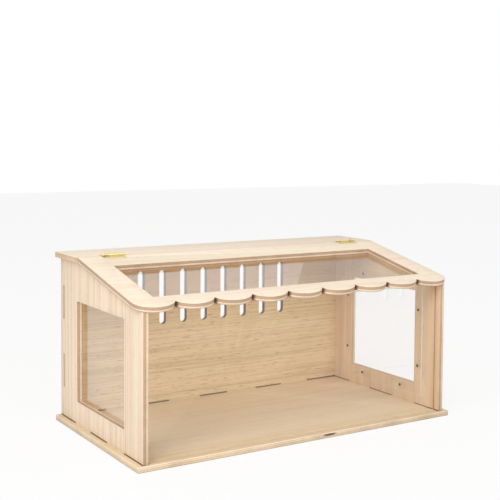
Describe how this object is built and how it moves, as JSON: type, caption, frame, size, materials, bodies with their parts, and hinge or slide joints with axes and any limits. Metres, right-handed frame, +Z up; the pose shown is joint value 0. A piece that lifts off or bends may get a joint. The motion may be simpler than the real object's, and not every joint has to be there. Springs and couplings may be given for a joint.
{
  "type": "hamster cage",
  "caption": "Plywood hamster cage with clear front and end windows, air slots at the back and a sloping glazed lid with a scalloped edge on brass hinges.",
  "frame": {"origin": "middle of the overall box in X and Y, at the underside of the base board", "axes": "+X along the cage to the right seen from the front, +Y to the back wall, +Z up"},
  "size_m": [0.6, 0.334, 0.2956],
  "materials": {
    "plywood": "bare birch plywood, sanded",
    "beech": "turned dowel",
    "clear_acrylic": "clear cast sheet, polished",
    "screw_steel": "dark waxed screw",
    "brass": "bright pressed sheet"
  },
  "bodies": {
    "cabinet": {"base_board": "plywood", "left_side_panel": "plywood", "right_side_panel": "plywood", "back_wall": "plywood", "rear_roof_board": "plywood", "roof_dowels": "beech", "left_window_pane": "clear_acrylic", "right_window_pane": "clear_acrylic", "left_window_screws": "screw_steel", "right_window_screws": "screw_steel", "left_hinge_roof_leaf": "brass", "left_hinge_pin": "brass", "left_hinge_roof_screws": "brass", "right_hinge_roof_leaf": "brass", "right_hinge_pin": "brass", "right_hinge_roof_screws": "brass"},
    "lid": {"lid_frame": "plywood", "lid_pane": "clear_acrylic", "lid_pane_screws": "screw_steel", "left_hinge_lid_leaf": "brass", "left_hinge_lid_screws": "brass", "right_hinge_lid_leaf": "brass", "right_hinge_lid_screws": "brass"},
    "front_sheet": {"front_pane": "clear_acrylic"}
  },
  "joints": [
    {"name": "lid_hinge", "type": "hinge", "parent": "cabinet", "child": "lid", "pos_m": [0, 0.0639, 0.2933], "axis": [-1, 0, 0], "range_deg": [0, 192]},
    {"name": "front_pane_lift", "type": "slide", "parent": "cabinet", "child": "front_sheet", "axis": [0, 0, 1], "range_m": [0, 0.0035]}
  ]
}
